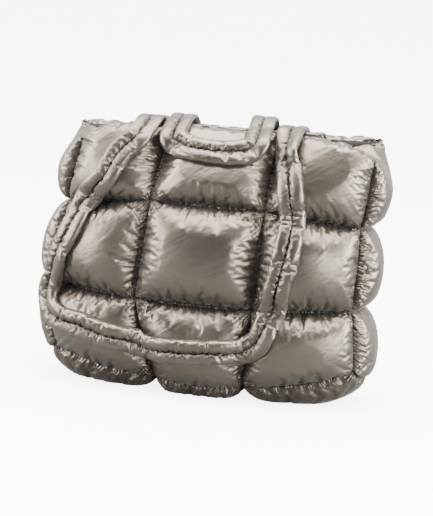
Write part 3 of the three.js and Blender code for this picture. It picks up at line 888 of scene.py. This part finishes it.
def over_mouth(start, end, x, arch):
    edges = [rim_corner(face, x) for face in (start, end)]
    places = []
    for t in (0.25, 0.5, 0.75):
        y = start * edges[0][0] * (1 - t) + end * edges[1][0] * t
        z = max(edges[0][1], edges[1][1]) + arch * math.sin(math.pi * t)
        places.append((np.array([x, y, z]), np.array([0, 0, 1.0]), STRAP_RIM_THICKNESS))
    return places


def sewn_end(face, x):
    """A strap's end: down into the mouth against the facing, then up and over the edge."""
    out_reach, top = rim_corner(face, x)

    def against(height):
        near = [face * lining_at(face, x + share * STRAP_WIDTH, height)[1]
                for share in (-0.5, -0.25, 0, 0.25, 0.5)]
        return face * (min(near) - FACING_CLEARANCE - FACING_THICKNESS)

    def at(y, z, out, thickness):
        return np.array([x, y, z]), unit(np.array(out, float)), thickness

    low = top - STRAP_END_DEPTH - ROLL_HEIGHT
    half_way = top - STRAP_END_DEPTH / 2 - ROLL_HEIGHT
    return [
        at(against(low), low, (0, -face, 0), STRAP_END_THICKNESS),
        at(against(half_way), half_way, (0, -face, 0), STRAP_END_THICKNESS),
        at(against(top), top - 1, (0, -face, 1), STRAP_END_THICKNESS),
        at((against(top) + face * out_reach) / 2, top, (0, 0, 1), STRAP_RIM_THICKNESS),
        over_corner(face, x),
    ]


def strap_path(kind):
    if kind == "front":
        starts = FRONT_DRAPE[0][0] * HALF_WIDTH + FRONT_END_SHIFTS[0]
        ends = FRONT_DRAPE[-1][0] * HALF_WIDTH + FRONT_END_SHIFTS[1]
        return [*sewn_end(FRONT, starts), *lie_on_face(FRONT, FRONT_DRAPE), *sewn_end(FRONT, ends)[::-1]]
    left = FOLDED_OVER[0][0] * HALF_WIDTH
    right = FOLDED_OVER[-1][0] * HALF_WIDTH
    return [
        *sewn_end(BACK, LEFT_BACK_LOOP[0][0] * HALF_WIDTH + BACK_END_SHIFTS[0]),
        *lie_on_face(BACK, LEFT_BACK_LOOP), over_corner(BACK, left),
        *over_mouth(BACK, FRONT, left, LEFT_ARCH), over_corner(FRONT, left),
        *lie_on_face(FRONT, FOLDED_OVER), over_corner(FRONT, right),
        *over_mouth(FRONT, BACK, right, RIGHT_ARCH), over_corner(BACK, right),
        *lie_on_face(BACK, RIGHT_BACK_LOOP),
        *sewn_end(BACK, RIGHT_BACK_LOOP[-1][0] * HALF_WIDTH + BACK_END_SHIFTS[1])[::-1],
    ]


def strap_section():
    """Places across the half width and shares of the half thickness, around two stitched tubes."""
    share = np.linspace(0, 1, RING_HALF // 2 + 1)
    eased = (1 - np.cos(np.pi * share)) / 2
    across = np.concatenate([-1 + eased, eased[1:]])
    stitch = STITCH_THICKNESS / STRAP_THICKNESS
    lobe = np.maximum(0, 1 - np.abs(2 * np.abs(across) - 1) ** LOBE_POWER) ** ROUNDNESS
    top = np.where(np.abs(across) < 0.5, stitch + (1 - stitch) * lobe, lobe)
    top[RING_HALF // 2] = stitch
    return np.concatenate([np.stack([across, top], 1), np.stack([across, -top], 1)[1:-1][::-1]])


def sweep_strap(kind):
    """The strap's rings before its padding is simulated."""
    path = strap_path(kind)
    thickness = np.array([t for _, _, t in path])
    place = np.array([p for p, _, _ in path])
    growth = (STRAP_THICKNESS - STRAP_RIM_THICKNESS) / PADDING_RAMP
    gaps = np.linalg.norm(np.diff(place, axis=0), axis=1)
    for k in range(1, len(path)):
        thickness[k] = min(thickness[k], thickness[k - 1] + growth * gaps[k - 1])
    for k in range(len(path) - 2, -1, -1):
        thickness[k] = min(thickness[k], thickness[k + 1] + growth * gaps[k])
    outs = np.array([o for _, o, _ in path])
    centre = place + outs * (thickness / 2 + STRAP_CLEARANCE)[:, None]
    length = spline(centre)[2]
    walked = np.concatenate([[0], np.cumsum(np.linalg.norm(np.diff(centre, axis=0), axis=1))])
    count = int(length / RING_STEP) + 1
    middle, tangent, length = spline(centre, count)
    even = np.linspace(0, walked[-1], count)
    out = unit(np.stack([np.interp(even, walked, outs[:, k]) for k in range(3)], 1))
    half = np.interp(even, walked, thickness) / 2
    side = unit(np.cross(tangent, out))
    normal = unit(np.cross(side, tangent))
    section = strap_section()
    turn = (np.gradient(tangent, axis=0) * side).sum(-1) / (length / (count - 1)) * STRAP_WIDTH / 2
    turn = smoothed(turn, TURN_SMOOTHING / (length / (count - 1)))
    inside = np.maximum(0, turn[:, None] * section[None, :, 0])
    across = section[None, :, 0] * np.minimum(1, BEND_ROOM / np.maximum(inside, 1e-6))
    return (middle[:, None] + side[:, None] * across[..., None] * STRAP_WIDTH / 2
            + normal[:, None] * section[None, :, 1:] * half[:, None, None])


def sew_strap(kind, seed):
    ring = sweep_strap(kind)
    count, around = ring.shape[:2]
    pinned = np.zeros((count, around))
    pinned[:, [RING_HALF // 2, RING_HALF + RING_HALF // 2]] = 1
    pinned[:, [0, RING_HALF]] = EDGE_HOLD
    pinned[[0, -1]] = 1
    faces = grid_faces(count, around, True)
    start = ring.copy()
    outward = unit(ring - ring.mean(1, keepdims=True))
    jitter = noise(np.arange(count)[:, None] * RING_STEP / 5 + 0 * start[..., 0],
                   np.arange(around)[None] * 0.7 + 0 * start[..., 0], seed)
    start += STRAP_JITTER * outward * jitter[..., None]
    k = count // 2
    corner = np.cross(start[k + 1, 3] - start[k, 3], start[k, 4] - start[k, 3])
    if (corner * outward[k, 3]).sum() > 0:
        faces = faces[:, ::-1]
    settled = settle(start.reshape(-1, 3), faces, pinned.reshape(-1), STRAP_GROWTH[kind], STRAP_PRESSURE)
    settled = capped(settled.reshape(count, around, 3), ring, STRAP_CAP)
    padded = np.concatenate([settled[:, -2:], settled, settled[:, :3]], 1)
    return finer(padded)[:, 4:4 + 2 * around]


straps = {"strap_front": sew_strap("front", 11), "strap_back": sew_strap("back", 12)}

# Panels give way under the straps

STRAP_GAP = 0.4
STRAP_NEAR = 16
MOST_DEPTH = 20
RAY_DEPTH = 30
SPREAD_ROUNDS = 3
HEM = 4


def closed_tube(grid):
    """Points and faces of a tube with both its ends closed."""
    high, around = grid.shape[:2]
    points = grid.reshape(-1, 3)
    faces = grid_faces(high, around, True).tolist()
    middle = [grid[0].mean(0), grid[-1].mean(0)]
    for end, start in ((0, 0), (1, (high - 1) * around)):
        hub = len(points) + end
        for i in range(around):
            a, b = start + i, start + (i + 1) % around
            faces.append([hub, b, a] if end == 0 else [hub, a, b])
    return np.concatenate([points, middle]), faces


def give_way(grid, facing, trees):
    """Moves the grid's places that are in or close under a strap to just under it."""
    flat = grid.reshape(-1, 3).copy()
    inward = -unit(facing.reshape(-1, 3))
    depth = np.zeros(len(flat))
    for tree in trees:
        for k, point in enumerate(flat):
            near = tree.find_nearest(Vector(point), STRAP_NEAR)
            if near[0] is None:
                continue
            direction = Vector(inward[k])
            origin = Vector(point) + direction * RAY_DEPTH
            hit = tree.ray_cast(origin, -direction, 2 * RAY_DEPTH)
            if hit[0] is None:
                continue
            below = RAY_DEPTH - hit[3] + STRAP_GAP
            if depth[k] < below < MOST_DEPTH:
                depth[k] = below
    depth = depth.reshape(grid.shape[:2])
    for _ in range(SPREAD_ROUNDS):
        padded = np.pad(depth, 1, mode="edge")
        spread = (padded[:-2, 1:-1] + padded[2:, 1:-1] + padded[1:-1, :-2] + padded[1:-1, 2:]) / 4
        depth = np.maximum(depth, spread)
    return grid + inward.reshape(grid.shape) * depth[..., None]


def with_hem(values, turned, open_top):
    """Values on a panel, with those of a narrow hem that turns in along its sewn edges."""
    foot, head = turned[:1], turned[-1:]
    middle = np.concatenate([foot, values] if open_top else [foot, values, head])
    sides = np.concatenate([foot, turned] if open_top else [foot, turned, head])
    return np.concatenate([sides[:, :1], middle, sides[:, -1:]], 1)


strap_trees = []
for grid in straps.values():
    points, faces = closed_tube(grid)
    strap_trees.append(BVHTree.FromPolygons(points.tolist(), faces))

for name, (grid, facing) in panels.items():
    open_top = nets[name]["open_top"]
    if open_top:
        grid = give_way(grid, facing, strap_trees)
    hemmed = with_hem(grid, grid - unit(facing) * HEM, open_top)
    outside = gusset_nylon.get(name, panel_nylon)
    piece = add_piece(f"{name}_puffs", hemmed.reshape(-1, 3), grid_faces(*hemmed.shape[:2]),
                      outside, [name])
    lengths = seam_measures(nets[name], grid)
    measure(piece, **{key: with_hem(values, values, open_top) for key, values in lengths.items()})
    lining = nets[name]["inner"][::2, ::2]
    sheet = add_piece(f"{name}_lining", lining.reshape(-1, 3), grid_faces(*lining.shape[:2]),
                      lining_nylon, [name])

for name, grid in straps.items():
    points, faces = closed_tube(grid)
    piece = add_piece(f"{name}_padding", points, faces, strap_nylon, [name])
    measure(piece, **stitch_measures(grid))

# Facings

FACING_DEPTH = 24
FACING_HALF_LENGTH = 125
FACING_STAND = 1.2
FACING_RISE = 5
FACING_ROWS = 10
FACING_PLACES = 240
FACING_ROUND = 0.05
FACING_WOBBLE = 1.5
FACING_ROLL = 1.6
ROLL_DEPTH = 5
END_TAPER = 4
FOLD_DEPTH = 1.2
CRUMPLE = 0.3


def facing_grid(face, seed):
    """Places on the lining under the mouth's edge, from the facing's lower edge to its top."""
    middle = HALF_WIDTH * (RIMS[face]["across"][1] + RIMS[face]["across"][2]) / 2
    share = np.linspace(-1, 1, FACING_PLACES + 1)
    rows = []
    rim = rim_nets[face]["inner"][-1]
    for down in np.linspace(1, 0, FACING_ROWS):
        row = []
        for across in share:
            x = middle + across * FACING_HALF_LENGTH
            row.append(lining_at(face, x, at_x(rim, x)[2] - FACING_DEPTH * down))
        rows.append(row)
    grid = np.array(rows)
    lift = np.linspace(0, 1, FACING_ROWS)[:, None] ** 2
    rounding = np.sqrt(np.clip((1 - np.abs(share[None])) / FACING_ROUND, 0, 1))
    rise = FACING_STAND + ROLL_HEIGHT * 0.6 + FACING_RISE * share[None] ** 6
    wobble = FACING_WOBBLE * noise(share[None] * 14, 0 * share[None], seed)
    grid[..., 2] += lift * (rise + wobble) * rounding
    grid[..., 2] -= lift * FACING_DEPTH * 0.5 * (1 - rounding)
    return grid


def facing_shell(grid, face, seed):
    """The facing as a closed padded strip, crumpled, and thickest in a roll along its top edge."""
    high, wide = grid.shape[:2]
    down = np.linspace(1, 0, high)[:, None]
    along = np.linspace(-1, 1, wide)[None] * FACING_HALF_LENGTH
    roll = FACING_ROLL * np.exp(-(down * FACING_DEPTH / ROLL_DEPTH) ** 2)
    ends = np.sqrt(np.clip((FACING_HALF_LENGTH - np.abs(along)) / END_TAPER, 0.05, 1))
    crumple = noise(along / 4.5 + down * 3, down * 5 + 0 * along, seed)
    fold = noise(along / 13 - down * 2, down * 3 + 0 * along, seed + 3)
    half = (FACING_THICKNESS / 2 + roll) * ends * (1 + CRUMPLE * crumple) + 0 * along
    middle = grid.copy()
    away = FACING_CLEARANCE + FACING_THICKNESS / 2 + roll + FOLD_DEPTH * (1 + fold)
    middle[..., 1] -= face * away
    near = middle.copy()
    far = middle.copy()
    near[..., 1] += face * half
    far[..., 1] -= face * half
    over = []
    for turn in np.linspace(0, np.pi, 9)[1:-1]:
        row = middle[-1].copy()
        row[:, 1] += face * half[-1] * np.cos(turn)
        row[:, 2] += half[-1] * np.sin(turn)
        over.append(row)
    return np.concatenate([near, np.array(over), far[::-1]])


for name, face, seed in (("mouth_facing_front", FRONT, 21), ("mouth_facing_back", BACK, 22)):
    ring = facing_shell(facing_grid(face, seed), face, seed)
    points = ring.reshape(-1, 3)
    high, wide = ring.shape[:2]
    index = np.arange(high * wide).reshape(high, wide)
    index = np.concatenate([index, index[:1]])
    quads = np.stack([index[:-1, :-1], index[:-1, 1:], index[1:, 1:], index[1:, :-1]], -1)
    faces = quads.reshape(-1, 4).tolist()
    faces += [index[:-1, 0].tolist(), index[:-1, -1][::-1].tolist()]
    piece = add_piece(f"{name}_strip", points, faces, facing_nylon, [name])

# Floor, backdrop and light

FLOOR_SIZE = 44
FLOOR_GLOW = 5
FLOOR_TO_BAG = (0.13, 0.13, 0.13, 1)
FLOOR_TO_CAMERA = (0.96, 0.96, 0.955, 1)
DARK_FRONT = 0.015
SKY_BACK = 1.6
SKY_LEFT = 3.4
SKY_RIGHT = 4.4
SKY_TOP = 6
BACKDROP = 40


def floor_paper():
    """Paper that the camera sees as white, and that throws less light back at the bag."""
    material = bpy.data.materials.new("floor_paper")
    material.use_nodes = True
    nodes = material.node_tree.nodes
    link = material.node_tree.links.new
    shader = nodes["Principled BSDF"]
    set_inputs(shader, Roughness=0.6, Specular_IOR_Level=0.1, Emission_Color=(1, 1, 1, 1))
    seen = nodes.new("ShaderNodeLightPath")
    colour = nodes.new("ShaderNodeMix")
    colour.data_type = "RGBA"
    set_inputs(colour, A=FLOOR_TO_BAG, B=FLOOR_TO_CAMERA)
    link(seen.outputs["Is Camera Ray"], colour.inputs["Factor"])
    link(colour.outputs["Result"], shader.inputs["Base Color"])
    glow = nodes.new("ShaderNodeMath")
    glow.operation = "MULTIPLY"
    glow.inputs[1].default_value = FLOOR_GLOW
    link(seen.outputs["Is Camera Ray"], glow.inputs[0])
    link(glow.outputs["Value"], shader.inputs["Emission Strength"])
    return material


def add_floor():
    mesh = bpy.data.meshes.new("floor")
    half = FLOOR_SIZE / 2
    corners = [(-half, -half, 0), (half, -half, 0), (half, half, 0), (-half, half, 0)]
    mesh.from_pydata(corners, [], [(0, 1, 2, 3)])
    mesh.materials.append(floor_paper())
    floor = bpy.data.objects.new("floor", mesh)
    scene.collection.objects.link(floor)


def add_area_light(name, place, target, size, power, colour=(1, 1, 1)):
    data = bpy.data.lights.new(name, "AREA")
    data.shape = "RECTANGLE"
    data.size, data.size_y = size
    data.energy = power
    data.color = colour
    light = bpy.data.objects.new(name, data)
    scene.collection.objects.link(light)
    light.location = place
    light.rotation_euler = (Vector(target) - Vector(place)).to_track_quat("-Z", "Y").to_euler()


def light_world():
    """White to the camera. To the bag it is bright above, behind and at the sides, and dark in front."""
    world = bpy.data.worlds.new("studio")
    scene.world = world
    world.use_nodes = True
    nodes = world.node_tree.nodes
    link = world.node_tree.links.new
    background = nodes["Background"]
    where = nodes.new("ShaderNodeTexCoord")
    split = nodes.new("ShaderNodeSeparateXYZ")
    link(where.outputs["Generated"], split.inputs["Vector"])

    def ramp(source, start, end, low, high):
        node = nodes.new("ShaderNodeMapRange")
        node.interpolation_type = "SMOOTHSTEP"
        set_inputs(node, From_Min=start, From_Max=end, To_Min=low, To_Max=high)
        link(source, node.inputs["Value"])
        return node.outputs["Result"]

    def brighter(a, b):
        node = nodes.new("ShaderNodeMath")
        node.operation = "MAXIMUM"
        link(a, node.inputs[0])
        link(b, node.inputs[1])
        return node.outputs["Value"]

    total = ramp(split.outputs["Y"], -0.35, 0.3, DARK_FRONT, SKY_BACK)
    total = brighter(total, ramp(split.outputs["X"], 0.6, 0.95, DARK_FRONT, SKY_RIGHT))
    total = brighter(total, ramp(split.outputs["X"], -0.5, -0.9, DARK_FRONT, SKY_LEFT))
    total = brighter(total, ramp(split.outputs["Z"], 0.72, 0.9, DARK_FRONT, SKY_TOP))
    seen = nodes.new("ShaderNodeLightPath")
    shown = nodes.new("ShaderNodeMix")
    shown.data_type = "FLOAT"
    link(seen.outputs["Is Camera Ray"], shown.inputs["Factor"])
    link(total, shown.inputs["A"])
    shown.inputs["B"].default_value = BACKDROP
    link(shown.outputs["Result"], background.inputs["Strength"])
    background.inputs["Color"].default_value = (1, 0.995, 0.985, 1)


add_floor()
light_world()
add_area_light("overhead", (0, -0.4, 2.2), (0, 0.1, 0.1), (3.2, 2.0), 172, (1, 0.975, 0.94))
add_area_light("left_side", (-2.0, -0.5, 1.0), (0, 0, 0.15), (0.6, 1.6), 60, (1, 0.98, 0.96))
add_area_light("left_front", (-1.5, -1.35, 0.5), (0, 0, 0.15), (0.5, 1.3), 28, (1, 0.975, 0.95))
add_area_light("right_side", (2.0, -0.3, 0.8), (0, 0, 0.15), (0.6, 1.5), 80)
add_area_light("right_front", (1.7, -1.5, 0.4), (0.1, 0, 0.17), (1.4, 0.6), 42)
